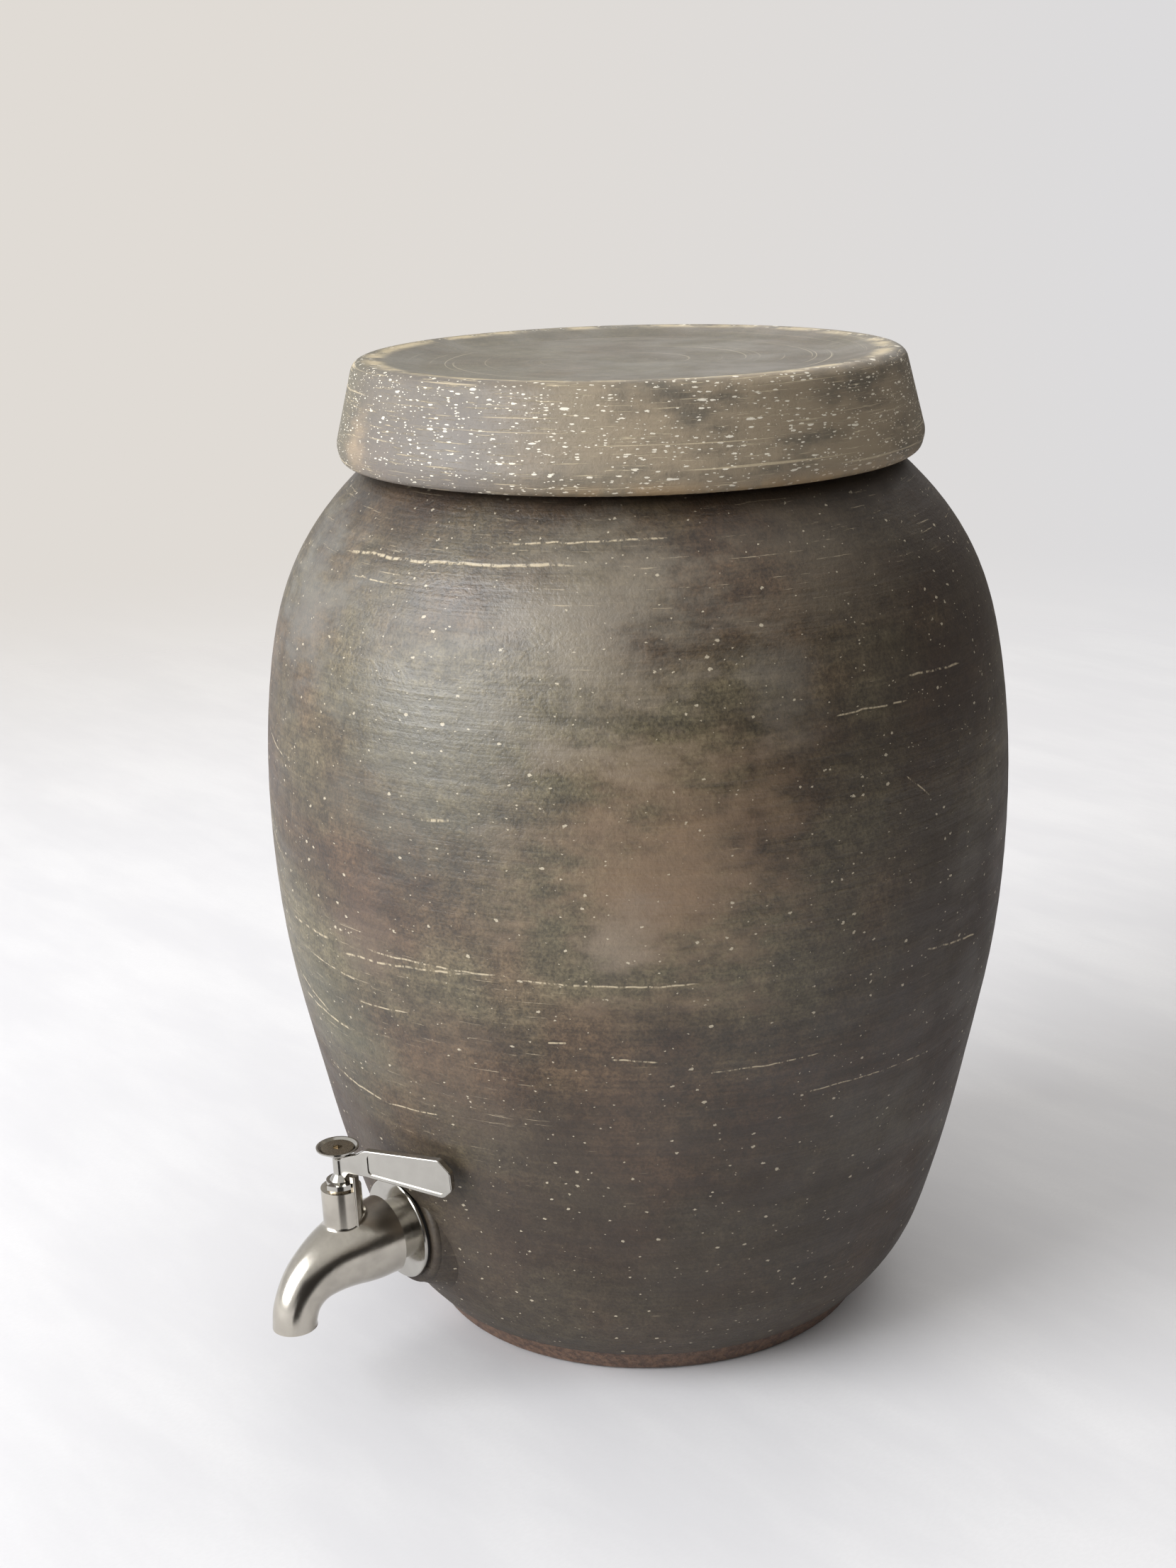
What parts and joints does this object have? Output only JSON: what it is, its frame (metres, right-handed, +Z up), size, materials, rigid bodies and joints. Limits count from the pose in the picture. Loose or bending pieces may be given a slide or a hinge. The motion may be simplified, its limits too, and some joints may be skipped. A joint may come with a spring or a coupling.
{
  "type": "clay water pot with tap",
  "caption": "Thrown clay water pot with a loose overhanging lid and a bent metal lever tap screwed through its wall near the foot.",
  "frame": {"origin": "centre of the flat base, in the plane that the pot stands on", "axes": "+Z up along the pot's axis, -Y out along the tap, +X to the right for someone facing the tap"},
  "size_m": [0.259, 0.2907, 0.3405],
  "materials": {
    "pot_body": "satin",
    "lid": "satin",
    "escutcheon": "polished",
    "outer_gasket": "matte",
    "inner_gasket": "matte",
    "backing_washer": "satin",
    "lock_nut": "satin",
    "tap_body": "satin",
    "plug_sleeve": "matte",
    "valve_plug": "satin",
    "stem_seals": "matte",
    "thrust_washer": "matte",
    "gland_ring": "satin",
    "handle": "polished",
    "handle_screw": "polished"
  },
  "bodies": {
    "pot": {"pot_body": "pot_body", "escutcheon": "escutcheon", "outer_gasket": "outer_gasket", "inner_gasket": "inner_gasket", "backing_washer": "backing_washer", "lock_nut": "lock_nut", "tap_body": "tap_body", "plug_sleeve": "plug_sleeve", "thrust_washer": "thrust_washer", "gland_ring": "gland_ring"},
    "lid": {"lid": "lid"},
    "lever": {"handle": "handle", "handle_screw": "handle_screw", "valve_plug": "valve_plug", "stem_seals": "stem_seals"}
  },
  "joints": [
    {"name": "lid_lift", "type": "slide", "parent": "pot", "child": "lid", "axis": [0, 0, 1], "range_m": [0, 0.15]},
    {"name": "lever_turn", "type": "hinge", "parent": "pot", "child": "lever", "pos_m": [0, -0.13183, 0.05137], "axis": [0, -0.0262, 0.9997], "range_deg": [-115, 0]}
  ]
}
